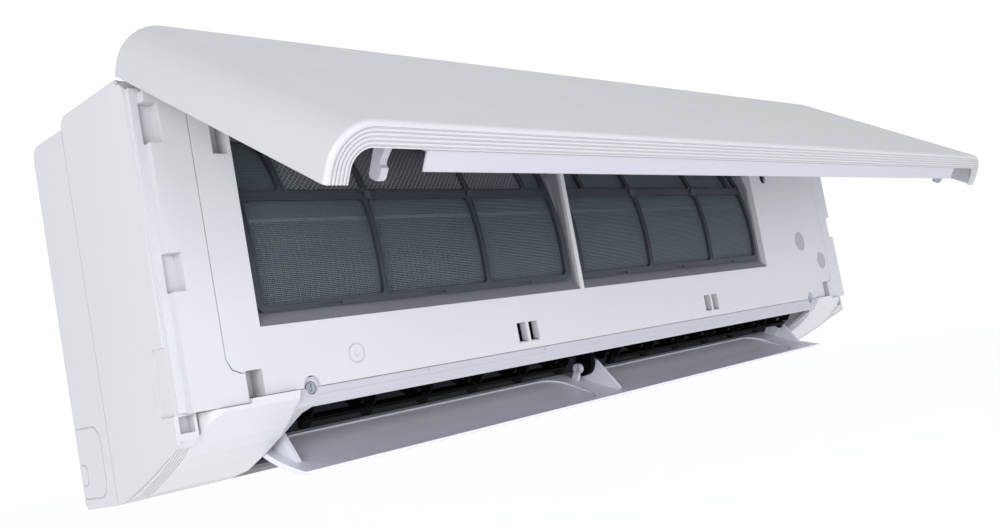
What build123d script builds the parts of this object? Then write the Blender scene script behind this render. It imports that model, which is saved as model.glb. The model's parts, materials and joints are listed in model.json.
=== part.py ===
from build123d import *
import math
import os

os.makedirs("parts", exist_ok=True)

# ---------------------------------------------------------------------------
# Wall-hung indoor unit of a split air conditioner, shown with its front panel
# lifted and its louver open. Millimetres. X runs along the unit, to the right
# for someone facing it, +Y points into the wall and +Z up. The origin is on
# the wall, in the middle of the back of the mounting plate. Heights below are
# given above the unit's rear lower edge, ZR under the origin.
# ---------------------------------------------------------------------------
ZR = 140.0              # origin's height above the rear lower edge
BODY_X = 449.0          # half width of the casing
PANEL_X = 450.0         # half width of the front panel
WALL = 2.5              # moulded wall thickness
SPLIT_Y = -50.0         # joint between the rear chassis and the front frame
CHASSIS_TOP = 256.0     # height of the rear chassis
FRAME_TOP = 263.5       # height of the front frame
SIDE_FRONT_Y = -141.2   # front edge of the side walls
FACE_Y = -151.0         # front face under the panel
FACE_BOTTOM = 55.0      # lower edge of the face plate
FACE_TOP = 249.6        # upper edge of the face plate
PANEL_Y = -142.5        # rear edge of the closed panel
PANEL_TOP = 268.0       # top of the closed panel
PANEL_LEN = 224.0       # height of the panel
PANEL_D = 34.0          # depth of the panel tray
PANEL_R = 26.0          # rounding between its flanks and its face
BAND = 14.5             # width of the band round the panel's lower end
HINGE = (-140.8, 260.7)     # panel hinge axis (y, height)
PANEL_OPEN = 58.25      # how far the panel stands open, degrees
LOUVER_AXIS = (-98.0, 29.0)  # louver hinge axis (y, height)
LOUVER_OPEN = 50.6      # how far the louver stands open, degrees
SCREW = (354.0, 54.6)   # bezel screws (x either way, height)
CHEEK_IN = 366.0        # inner edge of the end caps beside the louver
WIN = [(-386.0, -61.0), (-56.0, 267.0)]  # the two filter windows
WIN_Z = (99.0, 236.0)
FAN_AXIS = (-62.0, 104.0)    # blower axis (y, height)
FAN_R = 42.0
FAN_X = (-350.0, 262.0)
VANE_PITCH = 54.4
VANE_LEFT = [-343.0 + VANE_PITCH * i for i in range(6)]
VANE_RIGHT = [3.0 + VANE_PITCH * i for i in range(7)]
PLATE_T = 1.5           # mounting plate thickness
PIPE_GAS_R = 4.7625
PIPE_LIQ_R = 3.175

SIDE = Plane(origin=(0, 0, -ZR), x_dir=(0, 1, 0), z_dir=(1, 0, 0))    # (y, height)
FRONT = Plane(origin=(0, 0, -ZR), x_dir=(1, 0, 0), z_dir=(0, -1, 0))  # (x, height)
DECK = Plane(origin=(0, 0, -ZR), x_dir=(1, 0, 0), z_dir=(0, 0, 1))    # (x, y)


def side_prism(points, x0, x1, mode=Mode.ADD):
    """A (y, height) outline carried from x0 to x1."""
    with BuildSketch(SIDE.offset(x0)) as sk:
        with BuildLine():
            Polyline(*points, close=True)
        make_face()
    return extrude(sk.sketch, amount=x1 - x0, mode=mode)


def front_prism(points, y0, y1, mode=Mode.ADD):
    """An (x, height) outline carried from y0 forward to y1."""
    with BuildSketch(FRONT.offset(-y0)) as sk:
        with BuildLine():
            Polyline(*points, close=True)
        make_face()
    return extrude(sk.sketch, amount=y0 - y1, mode=mode)


def deck_prism(points, z0, z1, mode=Mode.ADD):
    """An (x, y) outline carried from height z0 to z1."""
    with BuildSketch(DECK.offset(z0)) as sk:
        with BuildLine():
            Polyline(*points, close=True)
        make_face()
    return extrude(sk.sketch, amount=z1 - z0, mode=mode)


def block(x0, x1, y0, y1, z0, z1, mode=Mode.ADD):
    """A plain block between two corners, heights above the rear lower edge."""
    with BuildSketch(DECK.offset(min(z0, z1))) as sk:
        with Locations(((x0 + x1) / 2, (y0 + y1) / 2)):
            Rectangle(abs(x1 - x0), abs(y1 - y0))
    return extrude(sk.sketch, amount=abs(z1 - z0), mode=mode)


def rod_x(y, z, r, x0, x1, mode=Mode.ADD):
    """A round bar along X."""
    with BuildSketch(SIDE.offset(x0)) as sk:
        with Locations((y, z)):
            Circle(r)
    return extrude(sk.sketch, amount=x1 - x0, mode=mode)


def rod_y(x, z, r, y0, y1, mode=Mode.ADD):
    """A round bar along Y, from y0 forward to y1."""
    with BuildSketch(FRONT.offset(-y0)) as sk:
        with Locations((x, z)):
            Circle(r)
    return extrude(sk.sketch, amount=y0 - y1, mode=mode)


def shifted(points, t):
    """The same open curve moved sideways by t, to the left of its travel."""
    ts = t if isinstance(t, list) else [t] * len(points)
    out = []
    for i, (a, b) in enumerate(points):
        p = points[max(i - 1, 0)]
        q = points[min(i + 1, len(points) - 1)]
        dx, dy = q[0] - p[0], q[1] - p[1]
        n = math.hypot(dx, dy)
        out.append((a - dy / n * ts[i], b + dx / n * ts[i]))
    return out


def curved_band(points, t, x0, x1, mode=Mode.ADD):
    """A smooth sheet of thickness t through (y, height) points, from x0 to x1."""
    other = shifted(points, t)
    with BuildSketch(SIDE.offset(x0)) as sk:
        with BuildLine():
            Spline(*points)
            Line(points[-1], other[-1])
            Spline(*reversed(other))
            Line(other[0], points[0])
        make_face()
    return extrude(sk.sketch, amount=x1 - x0, mode=mode)


def done(piece, name):
    piece.label = name
    export_step(piece, f"parts/{name}.step")


# Underside of the casing between the end caps' outer edges, rear to front
UNDER = [(-50.2, 1.4), (-75.0, 6.2), (-104.0, 16.8), (-131.0, 32.2), (-155.0, 54.2)]
# Lower outline of the side walls, rear to front
SIDE_LOW = [(-50.2, 1.4), (-78.0, 9.6), (-103.0, 19.0), (-124.0, 27.6), (-141.2, 34.5)]

# ---------------------------------------------------------------------------
# Mounting plate: pressed steel sheet screwed to the wall, with two hooks that
# the chassis hangs on and two spring tongues at its lower edge.
# ---------------------------------------------------------------------------
PLATE_SCREWS_X, PLATE_SCREWS_Z = 560.0, 150.0
with BuildPart() as wall_plate:
    with BuildSketch(FRONT.offset(0)):
        with BuildLine():
            Polyline((-330, 62), (-230, 62), (-215, 74), (215, 74), (230, 62), (330, 62),
                     (330, 236), (250, 236), (235, 224), (-235, 224), (-250, 236), (-330, 236), close=True)
        make_face()
        with Locations((-150, 140), (150, 140)):
            RectangleRounded(80, 46, 8, mode=Mode.SUBTRACT)
        with Locations((-280, 140 - PLATE_SCREWS_Z / 2), (280, 140 - PLATE_SCREWS_Z / 2),
                       (-280, 140 + PLATE_SCREWS_Z / 2), (280, 140 + PLATE_SCREWS_Z / 2)):
            Circle(2.75, mode=Mode.SUBTRACT)
    extrude(amount=PLATE_T)
    # stiffening beads pressed forward
    for z in (100.0, 180.0):
        block(-300, 300, -PLATE_T, -PLATE_T - 1.2, z - 3, z + 3)
    # hooks at the top and tongues at the bottom
    for s in (-1, 1):
        side_prism([(-0.4, 226), (-6.5, 226), (-6.5, 228), (-12.5, 234), (-12.5, 242), (-14.5, 242),
                    (-14.5, 232), (-8.0, 224), (-8.0, 222), (-0.4, 222)], s * 300 - 14, s * 300 + 14)
        block(s * 290 - 10, s * 290 + 10, -PLATE_T, -5.2, 64, 66)
done(wall_plate.part, "wall_plate")

# ---------------------------------------------------------------------------
# Rear chassis: back wall with a pipe channel along its foot, side walls, top.
# ---------------------------------------------------------------------------
with BuildPart() as chassis:
    with BuildSketch(SIDE.offset(-BODY_X)):
        with BuildLine():
            Polyline((-4, 0), (SPLIT_Y + 0.4, 1.4), (SPLIT_Y + 0.4, CHASSIS_TOP), (-9, CHASSIS_TOP))
            RadiusArc((-9, CHASSIS_TOP), (0, CHASSIS_TOP - 9), 9)
            Polyline((0, CHASSIS_TOP - 9), (0, 4), (-4, 0))
        make_face()
    extrude(amount=2 * BODY_X)
    # interior, open to the front
    block(-BODY_X + WALL, BODY_X - WALL, -10.5, SPLIT_Y - 1, 4.2, CHASSIS_TOP - WALL, mode=Mode.SUBTRACT)
    # recess that takes the mounting plate
    block(-BODY_X + WALL, BODY_X - WALL, 1, -8.0, 4.0, CHASSIS_TOP - 5.0, mode=Mode.SUBTRACT)
    # pipe channel wall
    side_prism([(-8, 50.0), (-8, 52.5), (-30.5, 52.5), (-30.5, 3.0), (-28.0, 3.0), (-28.0, 50.0)],
               -BODY_X + WALL, BODY_X - WALL)
    side_prism([(-8.2, 4.3), (-27.9, 4.3), (-27.9, 49.9), (-10.6, 49.9), (-8.2, 49.9)],
               -BODY_X + WALL, BODY_X - WALL, mode=Mode.SUBTRACT)
    block(-BODY_X + WALL, BODY_X - WALL, -7.9, -10.6, 4.3, 49.9, mode=Mode.SUBTRACT)
    # slots for the plate's hooks, and the way through for the pipes
    for s in (-1, 1):
        block(s * 300 - 17, s * 300 + 17, -7, -11, 221, 246, mode=Mode.SUBTRACT)
    with BuildSketch(DECK.offset(48)):
        with Locations((371.0, -19.5)):
            SlotOverall(50, 15)
    extrude(amount=6, mode=Mode.SUBTRACT)
    # scored break-outs for pipes at both ends
    for s in (-1, 1):
        with BuildSketch(SIDE.offset(s * BODY_X)):
            with Locations((-12, 31.5)):
                RectangleRounded(52, 49, 12)
                RectangleRounded(50.4, 47.4, 11.2, mode=Mode.SUBTRACT)
            with Locations((-1.5, 23.5)):
                RectangleRounded(19, 15, 5)
                RectangleRounded(17.4, 13.4, 4.2, mode=Mode.SUBTRACT)
        extrude(amount=-s * 0.6, mode=Mode.SUBTRACT)
done(chassis.part, "chassis")

# ---------------------------------------------------------------------------
# Front frame: side walls, top wall with the inlet opening, hinge shelf and the
# outer strips of the face with their clip pockets.
# ---------------------------------------------------------------------------
with BuildPart() as front_frame:
    with BuildSketch(SIDE.offset(-BODY_X)):
        with BuildLine():
            Spline(*SIDE_LOW)
            Polyline(SIDE_LOW[-1], (SIDE_FRONT_Y, 256.5), (-134.0, FRAME_TOP), (SPLIT_Y - 8.4, FRAME_TOP))
            RadiusArc((SPLIT_Y - 8.4, FRAME_TOP), (SPLIT_Y - 0.2, FRAME_TOP - 8.2), 8.2)
            Line((SPLIT_Y - 0.2, FRAME_TOP - 8.2), SIDE_LOW[0])
        make_face()
    extrude(amount=2 * BODY_X)
    block(-BODY_X + WALL, BODY_X - WALL, SPLIT_Y + 2, -160, -10, FRAME_TOP - WALL, mode=Mode.SUBTRACT)
    block(-404, 404, -60, -126, FRAME_TOP - 4, FRAME_TOP + 1, mode=Mode.SUBTRACT)
    block(-BODY_X - 1, BODY_X + 1, -133.0, -160, FRAME_TOP - 4, FRAME_TOP + 1, mode=Mode.SUBTRACT)
    for s in (-1, 1):
        block(s * (BODY_X - WALL), s * BODY_X, -130.5, -134.0, 255, FRAME_TOP)
        block(s * (BODY_X - WALL), s * BODY_X, -130.5, SIDE_FRONT_Y, 200, 256.5)
    # flange that laps the chassis along the top
    block(-BODY_X + 1, BODY_X - 1, SPLIT_Y - 0.2, SPLIT_Y - 2.6, 251.0, 256.5)
    # hinge shelf: a wall behind the hinges and a ledge under them
    side_prism([(-130.5, FRAME_TOP - 1), (-133.0, FRAME_TOP - 1), (-133.0, 252.5), (FACE_Y, 252.5),
                (FACE_Y, 250.0), (-130.5, 250.0)], -441.0, 441.0)
    for s in (-1, 1):
        block(s * 440.8, s * (BODY_X - 0.5), -130.5, -133.0, 250.0, FRAME_TOP - 1)
    for s in (-1, 1):
        # strip beside the face plate, its return, and the rail outside it
        front_prism([(s * 414.2, 250.5), (s * 441, 250.5), (s * 441, 52), (s * 402.0, 52), (s * 402.0, 71.0),
                     (s * 405.0, 71.0), (s * 411.2, 74.0), (s * 414.2, 81.0)], FACE_Y + WALL, FACE_Y)
        block(s * 438.5, s * 441, FACE_Y + 0.2, -140.0, 52, 250.5)
        block(s * 438.5, s * 447.0, -145.0, -140.0, 53, 255.0)
        # clip pockets in the strip
        for z0, z1 in ((219.5, 245.5), (126.2, 150.2)):
            block(s * 430.5, s * 441.0, FACE_Y + 0.2, -139.5, z0 - 2, z1 + 2)
            block(s * 432.6, s * 442.0, FACE_Y - 1, -141.6, z0, z1, mode=Mode.SUBTRACT)
        # lower corner block with its pocket
        side_prism([(-131.6, 31.6), (SIDE_FRONT_Y, 36.6), (SIDE_FRONT_Y, 53.5), (-131.6, 53.5)],
                   434.0 if s > 0 else -447.6, 447.6 if s > 0 else -434.0)
        block(s * 436.0, s * 445.8, SIDE_FRONT_Y - 1, -133.8, 41.0, 51.2, mode=Mode.SUBTRACT)
        # finger recess low on the side wall
        block(s * (BODY_X - 1.3), s * (BODY_X + 1), -126.5, -145.0, 52, 94, mode=Mode.SUBTRACT)
    block(444.5, 447.2, -144.0, -146.0, 127, 152, mode=Mode.SUBTRACT)
    # hinge lugs
    for x0, x1 in ((-397, -394), (-387, -384), (-4.5, -1.5), (5.5, 8.5), (384, 387), (394, 397)):
        with BuildSketch(SIDE.offset(x0)):
            with Locations(HINGE):
                Circle(4.2)
            with BuildLine():
                Polyline((-144.4, 252.0), (-144.8, 259.2), (-136.8, 259.2), (-136.4, 252.0), close=True)
            make_face()
            with Locations(HINGE):
                Circle(2.06, mode=Mode.SUBTRACT)
        extrude(amount=x1 - x0)
done(front_frame.part, "front_frame")

# ---------------------------------------------------------------------------
# Top inlet grille
# ---------------------------------------------------------------------------
with BuildPart() as top_grille:
    block(-403.6, 403.6, -60.4, -125.6, FRAME_TOP - 2.2, FRAME_TOP - 0.2)
    with BuildSketch(DECK.offset(FRAME_TOP - 3)):
        with GridLocations(31.4, 12.6, 25, 5):
            SlotOverall(27.0, 8.6)
    slots = extrude(amount=4, mode=Mode.PRIVATE)
    add(slots.moved(Location((0, -93.0, 0))), mode=Mode.SUBTRACT)
done(top_grille.part, "top_grille")

# ---------------------------------------------------------------------------
# Face plate with the two filter windows
# ---------------------------------------------------------------------------
with BuildPart() as face_plate:
    left = [(-390.0, FACE_BOTTOM), (-390.0, 72.2), (-401.6, 72.2), (-401.6, 71.4), (-404.5, 71.4),
            (-410.5, 74.3), (-413.8, 81.3), (-413.8, FACE_TOP)]
    front_prism(left + [(-x, z) for x, z in reversed(left)], FACE_Y + WALL, FACE_Y)
    # window returns and the bar between the windows
    block(-388.2, -386.0, FACE_Y + 0.3, -141.0, WIN_Z[0], WIN_Z[1])
    block(267.0, 269.2, FACE_Y + 0.3, -141.0, WIN_Z[0], WIN_Z[1])
    block(-60.0, -57.0, FACE_Y + 0.3, -141.0, WIN_Z[0], WIN_Z[1])
    for x0, x1 in WIN:
        block(x0, x1, FACE_Y + 4, FACE_Y - 1, WIN_Z[0], WIN_Z[1], mode=Mode.SUBTRACT)
    side_prism([(-149.0, 186), (-141.0, 186), (-140.0, 203), (-137.5, 222), (-135.5, 230), (-135.5, 236), (-149.0, 236)],
               -60.0, -57.0)
    # walls around the latch slots, then the slots themselves
    for xc in (-137.75, 141.5):
        block(xc - 15, xc + 15, FACE_Y + 1, -144.0, 58.8, 79.2)
        block(xc - 12.3, xc - 1.6, FACE_Y - 1, -142, 61.0, 77.0, mode=Mode.SUBTRACT)
        block(xc + 1.6, xc + 12.3, FACE_Y - 1, -142, 61.0, 77.0, mode=Mode.SUBTRACT)
    # reveals beside the corner latch pockets
    for s in (-1, 1):
        block(s * 390.0, s * 388.4, FACE_Y + 1, -135.2, FACE_BOTTOM, 74.2)
        block(s * 388.4, s * 401.6, FACE_Y + 1, -135.2, 72.2, 74.4)
        block(s * 401.0, s * 403.2, -148.2, -135.2, 72.2, 74.4)
        block(s * 401.6, s * 403.2, -148.2, -135.2, FACE_BOTTOM + 0.3, 74.4)
        block(s * 388.4, s * 403.2, -136.6, -135.2, FACE_BOTTOM + 0.3, 74.4)
        # half-round screw pockets, open below
        rod_y(s * SCREW[0], SCREW[1] + 1.5, 8.6, -148.4, FACE_Y + 1)
    block(-388, 388, -140, -148.4, 40, 62.6, mode=Mode.SUBTRACT)
    for s in (-1, 1):
        rod_y(s * SCREW[0], SCREW[1] + 1.5, 6.6, -140.0, FACE_Y - 1, mode=Mode.SUBTRACT)
        block(s * (SCREW[0] - 9), s * (SCREW[0] + 9), -140.0, FACE_Y - 1, 40, FACE_BOTTOM, mode=Mode.SUBTRACT)
        block(s * (SCREW[0] - 6.6), s * (SCREW[0] + 6.6), -140.0, FACE_Y - 1, 50, SCREW[1] + 1.5, mode=Mode.SUBTRACT)
    # stay slots beside the windows, the left one with a closed box behind it
    block(-400.6, -387.8, FACE_Y + 1, -138.2, 212.0, 241.2)
    block(-399.4, -389.0, -139.4, FACE_Y - 1, 213.2, 240.0, mode=Mode.SUBTRACT)
    rod_y(295.5, 200.0, 6.2, -145, FACE_Y - 1, mode=Mode.SUBTRACT)
    block(289.3, 301.7, -145.0, FACE_Y - 1, 200.0, 236.0, mode=Mode.SUBTRACT)
    # seats of the signal window and the manual button
    rod_y(353.5, 124.0, 11.0, -145, FACE_Y - 1, mode=Mode.SUBTRACT)
    rod_y(398.5, 98.7, 10.0, -145, FACE_Y - 1, mode=Mode.SUBTRACT)
    # round locating mark low on the left
    with BuildSketch(FRONT.offset(-FACE_Y - 0.5)):
        with Locations((-313.6, 73.0)):
            Circle(7.0)
            Circle(6.2, mode=Mode.SUBTRACT)
            Circle(2.0)
    extrude(amount=1.0, mode=Mode.SUBTRACT)
done(face_plate.part, "face_plate")

# ---------------------------------------------------------------------------
# Outlet bezel: stepped lip over the air outlet with slanted ends
# ---------------------------------------------------------------------------
LIP = [(-146.0, 62.0), (-148.2, 62.0), (-148.2, 54.5), (-149.2, 54.5), (-149.2, 50.0), (-147.6, 49.0),
       (-147.6, 43.5), (-146.5, 42.2), (-141.0, 43.6), (-141.0, 46.0), (-145.0, 46.0), (-146.0, 47.0)]
with BuildPart() as bezel_end:
    side_prism([(-147.4, 42.8), (-143.0, 40.4), (-110.0, 24.2), (-109.0, 26.2), (-141.4, 44.4), (-146.6, 44.4)], 350, 365.8)
    deck_prism([(365.8, -150), (352, -150), (353, -147.5), (358.8, -141), (359.2, -134), (359.2, -100),
                (365.8, -100)], 10, 60, mode=Mode.INTERSECT)
with BuildPart() as outlet_bezel:
    side_prism(LIP, -365.8, 365.8)
    add(bezel_end.part)
    mirror(bezel_end.part, about=Plane.YZ)
    for s in (-1, 1):
        rod_y(s * SCREW[0], SCREW[1], 6.5, -143.5, -146.6)
        rod_y(s * SCREW[0], SCREW[1], 4.4, -146.2, -152, mode=Mode.SUBTRACT)
        rod_y(s * SCREW[0], SCREW[1], 2.1, -140, -152, mode=Mode.SUBTRACT)
        rod_y(s * 120.0, 52.2, 1.1, -149.0, -149.8)
        rod_y(s * 250.0, 52.2, 1.1, -149.0, -149.8)
done(outlet_bezel.part, "outlet_bezel")

with BuildPart() as bezel_screws:
    for s in (-1, 1):
        x, z = s * SCREW[0], SCREW[1]
        rod_y(x, z, 3.9, -146.3, -148.5)
        rod_y(x, z, 1.9, -140.7, -147.0)
        block(x - 2.6, x + 2.6, -147.4, -149, z - 0.5, z + 0.5, mode=Mode.SUBTRACT)
        block(x - 0.5, x + 0.5, -147.4, -149, z - 2.6, z + 2.6, mode=Mode.SUBTRACT)
done(bezel_screws.part, "bezel_screws")

# ---------------------------------------------------------------------------
# End caps beside the louver: shells with terraced rims; their inner walls
# carry the louver's pivots.
# ---------------------------------------------------------------------------
CAP = [(-50.4, 1.6), (-75.0, 6.0), (-104.0, 17.5), (-121.0, 25.5), (-131.0, 32.0), (-143.0, 41.5), (-152.0, 49.0), (-155.0, 54.7)]
CAP_IN = shifted(CAP[1:-1], -2.5)


def cap_outline(t):
    """Plan of the end cap, drawn in by t."""
    with BuildSketch(DECK) as sk:
        with BuildLine():
            Polyline((CHEEK_IN + t, -155 + t), (CHEEK_IN + t, -50.4 - t), (446.2 - t, -50.4 - t), (446.2 - t, -131 + t),
                     (433 - t, -131 + t), (433 - t, -133))
            RadiusArc((433 - t, -133), (411, -155 + t), 22 - t)
            Line((411, -155 + t), (CHEEK_IN + t, -155 + t))
        make_face()
    return sk.sketch


with BuildPart() as cap_room:
    side_prism([(-53.2, 60), (-53.2, 5.0)] + [(y, z) for y, z in CAP_IN[1:]] + [(-153.0, 54.0), (-153.0, 60)], CHEEK_IN + 1, 446)
    extrude(cap_outline(2.5), amount=60, mode=Mode.INTERSECT)
    block(CHEEK_IN, 447, -140, -156, 49.0, 61, mode=Mode.SUBTRACT)
with BuildPart() as end_cap_right:
    side_prism(CAP + [(-50.4, 54.7)], CHEEK_IN, 446.2)
    extrude(cap_outline(0.0), amount=70, mode=Mode.INTERSECT)
    block(401.8, 450, -50, -156, 51.7, 60, mode=Mode.SUBTRACT)
    add(cap_room.part, mode=Mode.SUBTRACT)
    rod_x(*LOUVER_AXIS, 2.56, CHEEK_IN - 1, CHEEK_IN + 3, mode=Mode.SUBTRACT)
    # terraced rim along the outer and rear borders, and the line inside it
    for k in range(5):
        x = 444.2 - 2.0 * k
        y = -54.0 - 3.0 * k
        band = [p for p in CAP if p[0] < y - 2 and p[0] > -132] + [(-131.2, 32.15)]
        z = CAP[0][1] + (CAP[1][1] - CAP[0][1]) * (y - CAP[0][0]) / (CAP[1][0] - CAP[0][0])
        band = [(y, z)] + band
        side_prism(band + [(a, b + 0.4) for a, b in reversed(band)], x, x + 0.7, mode=Mode.SUBTRACT)
        block(CHEEK_IN + 8, x + 0.7, y, y - 0.9, z - 3, z + 0.45, mode=Mode.SUBTRACT)
done(end_cap_right.part, "end_cap_right")
with BuildPart() as end_cap_left:
    mirror(end_cap_right.part, about=Plane.YZ)
done(end_cap_left.part, "end_cap_left")

# ---------------------------------------------------------------------------
# Dark guide frame behind the windows, with the slanted sill
# ---------------------------------------------------------------------------
RAIL = [(-140.7, 94), (-140.7, 180), (-137.8, 200), (-124, 227), (-108, 243), (-104.5, 240), (-121.5, 222.5),
        (-134, 198), (-135.6, 185), (-135.6, 94)]
with BuildPart() as filter_guide:
    for x0, x1 in WIN:
        side_prism([(-150.4, 99.2), (-150.4, 99.5), (-139.0, 110.9), (-136.2, 108.1), (-147.0, 97.3), (-148.2, 97.3),
                    (-148.2, 99.2)], x0 + 0.4, x1 - 0.4)
    side_prism([(-140.7, 94), (-140.7, 106), (-137.5, 109), (-136, 107.5), (-136, 94)], -388, 264.2)
    side_prism([(-108, 243), (-104.5, 240), (-101, 243.5), (-104.5, 247)], -388, 264.2)
    for x0, x1 in ((-388, -384.4), (-65.9, -61.4), (-55.6, -52.0), (260.8, 264.2)):
        side_prism(RAIL, x0, x1)
    # walls along the inner side of the left window and the outer side of the right one
    side_prism([(-146.8, 99.6), (-146.8, 200), (-142.2, 225), (-140.5, 232), (-136.5, 232), (-136.5, 99.6)], -62.4, -61.2)
    side_prism([(-145.0, 100.5), (-145.0, 188), (-139.0, 210), (-127.0, 230), (-123.0, 226), (-134.0, 198), (-136.5, 180),
                (-136.5, 104.5)], 263.0, 266.6)
done(filter_guide.part, "filter_guide")

# ---------------------------------------------------------------------------
# Dust filters: arched frames with ribs, and the mesh behind them
# ---------------------------------------------------------------------------
ARCH = [(-145.6, 108.4), (-146.8, 135.0), (-145.0, 162.0), (-139.0, 189.0), (-127.0, 217.0), (-110.5, 238.0)]
ARCH = list(reversed(ARCH))
SILL_LINE = [(-160.0, 90.6), (-130.0, 120.6), (-120.0, 120.6), (-120.0, 90.0), (-160.0, 90.0)]
FILTERS = {
    "filter_left": (-383.5, -66.5, [-274.0, -167.5], [-344.0, -272.0, -166.0, -97.0]),
    "filter_right": (-51.5, 259.5, [58.0, 165.5], [-16.0, 54.0, 162.0, 238.0]),
}
for name, (x0, x1, low, high) in FILTERS.items():
    cells = []
    for ribs, z0, z1 in ((low, 113.2, 184.5), (high, 191.5, 231.0)):
        edges = [x0 + 5.5] + [e for r in ribs for e in (r - 2.2, r + 2.2)] + [x1 - 5.5]
        cells += [((p + q) / 2, (z0 + z1) / 2, q - p, z1 - z0, min(4.0, (q - p) / 2 - 0.4)) for p, q in zip(edges[0::2], edges[1::2])]
    with BuildPart() as filter_rims:
        curved_band(shifted(ARCH, -0.7), 1.2, x0, x1)
        with BuildSketch(FRONT.offset(100)):
            for xc, zc, w, h, r in cells:
                with Locations((xc, zc)):
                    RectangleRounded(w + 2.2, h + 2.2, r + 1.1)
                    RectangleRounded(w, h, r, mode=Mode.SUBTRACT)
        extrude(amount=50, mode=Mode.INTERSECT)
    with BuildPart() as filter_frame:
        curved_band(ARCH, 3.0, x0, x1)
        add(filter_rims.part)
        # small bosses where the upper ribs meet the crossbar
        for x in high[1:3]:
            rod_y(x, 188.0, 3.2, -136.5, -141.3)
        with BuildSketch(FRONT.offset(100)):
            for xc, zc, w, h, r in cells:
                with Locations((xc, zc)):
                    RectangleRounded(w, h, r)
        extrude(amount=50, mode=Mode.SUBTRACT)
        # grip notches in the bottom bar
        for c in (x0 + 60, (x0 + x1) / 2, x1 - 60):
            block(c - 9, c + 9, -144.4, -152, 107, 110.6, mode=Mode.SUBTRACT)
        # rounded lower corners
        with BuildSketch(FRONT.offset(100)):
            with Locations(((x0 + x1) / 2, 174.0)):
                RectangleRounded(x1 - x0, 132.0, 8.0)
            with Locations(((x0 + x1) / 2, 220.0)):
                Rectangle(x1 - x0, 60.0)
        extrude(amount=50, mode=Mode.INTERSECT)
        # rear lower corner, cut to pass over the sill
        side_prism(SILL_LINE, x0 - 1, x1 + 1, mode=Mode.SUBTRACT)
    done(filter_frame.part, name)
    with BuildPart() as filter_mesh:
        curved_band(shifted(ARCH, 3.45), 0.4, x0 + 2.0, x1 - 2.0)
        side_prism(SILL_LINE, x0 - 1, x1 + 1, mode=Mode.SUBTRACT)
    done(filter_mesh.part, name.replace("filter", "mesh"))

# ---------------------------------------------------------------------------
# Black duct roof with the drip channel's walls, the rear tongue and the
# hanger of the louver's middle bearing; foam drip tray lying in it.
# ---------------------------------------------------------------------------
VANE_A = (-118.0, 61.1)                 # where the vane axes meet the roof (y, height)
UU = (0.8357, 0.5492)                   # along the roof, towards the back
DD = (0.5492, -0.8357)                  # square to the roof, down into the duct


def ud(u, d):
    return (VANE_A[0] + UU[0] * u + DD[0] * d, VANE_A[1] + UU[1] * u + DD[1] * d)


def rod_d(x, u, d0, d1, r, mode=Mode.ADD):
    """A round bar square to the duct roof."""
    y, z = ud(u, d0)
    with BuildSketch(Plane(origin=(x, y, z - ZR), x_dir=(1, 0, 0), z_dir=(0, DD[0], DD[1]))) as sk:
        Circle(r)
    return extrude(sk.sketch, amount=d1 - d0, mode=mode)


with BuildPart() as duct_roof:
    side_prism([(-140.9, 46.1), (-106, 69.0), (-104.9, 71), (-103.9, 88), (-107.0, 91), (-109.0, 89.5), (-107.6, 74.0),
                (-107.9, 71.0), (-140.9, 49.3), (-140.9, 92), (-143.2, 92), (-143.2, 46.5)], -365.7, 365.7)
    for x0 in (-365.7, 363.2):
        side_prism([(-138.5, 48.5), (-106, 70.0), (-104.4, 53.5), (-129, 53.0)], x0, x0 + 2.5)
    for x in VANE_LEFT + VANE_RIGHT:
        rod_d(x, 0, -8, 4, 2.06, mode=Mode.SUBTRACT)
    for s in (-1, 1):
        rod_y(s * SCREW[0], SCREW[1], 1.95, -130, -150, mode=Mode.SUBTRACT)
    # way through for the suction pipe
    block(346, 367, -100, -112, 86, 95, mode=Mode.SUBTRACT)
    # middle bearing hanger
    side_prism([(-118.5, 61.6), (-110.0, 67.2), (-93.4, 36.0), (-91.0, 31.0), (-91.6, 25.6), (-94.4, 22.2), (-98.6, 21.2),
                (-103.7, 22.0), (-107.2, 23.4), (-109.6, 25.6), (-111.6, 29.0), (-112.6, 33.0), (-113.2, 40.0)], -20, -14)
    rod_x(*LOUVER_AXIS, 2.3, -22, -12, mode=Mode.SUBTRACT)
done(duct_roof.part, "duct_roof")

with BuildPart() as drain_tray:
    side_prism([(-140.6, 50.0), (-140.6, 84), (-137.6, 84), (-136.6, 77.5), (-112.6, 75.0), (-110.9, 86.0), (-109.3, 86.0),
                (-108.4, 74), (-108.4, 71.5)], -388, 340)
    rod_x(-124.0, 68.4, 5.2, 339, 352)
    rod_x(-124.0, 68.4, 3.6, 320, 353, mode=Mode.SUBTRACT)
    block(320, 328, -121.5, -126.5, 68.4, 80, mode=Mode.SUBTRACT)
    block(-390, -365.9, -100, -150, 40, 57, mode=Mode.SUBTRACT)
done(drain_tray.part, "drain_tray")

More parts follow.
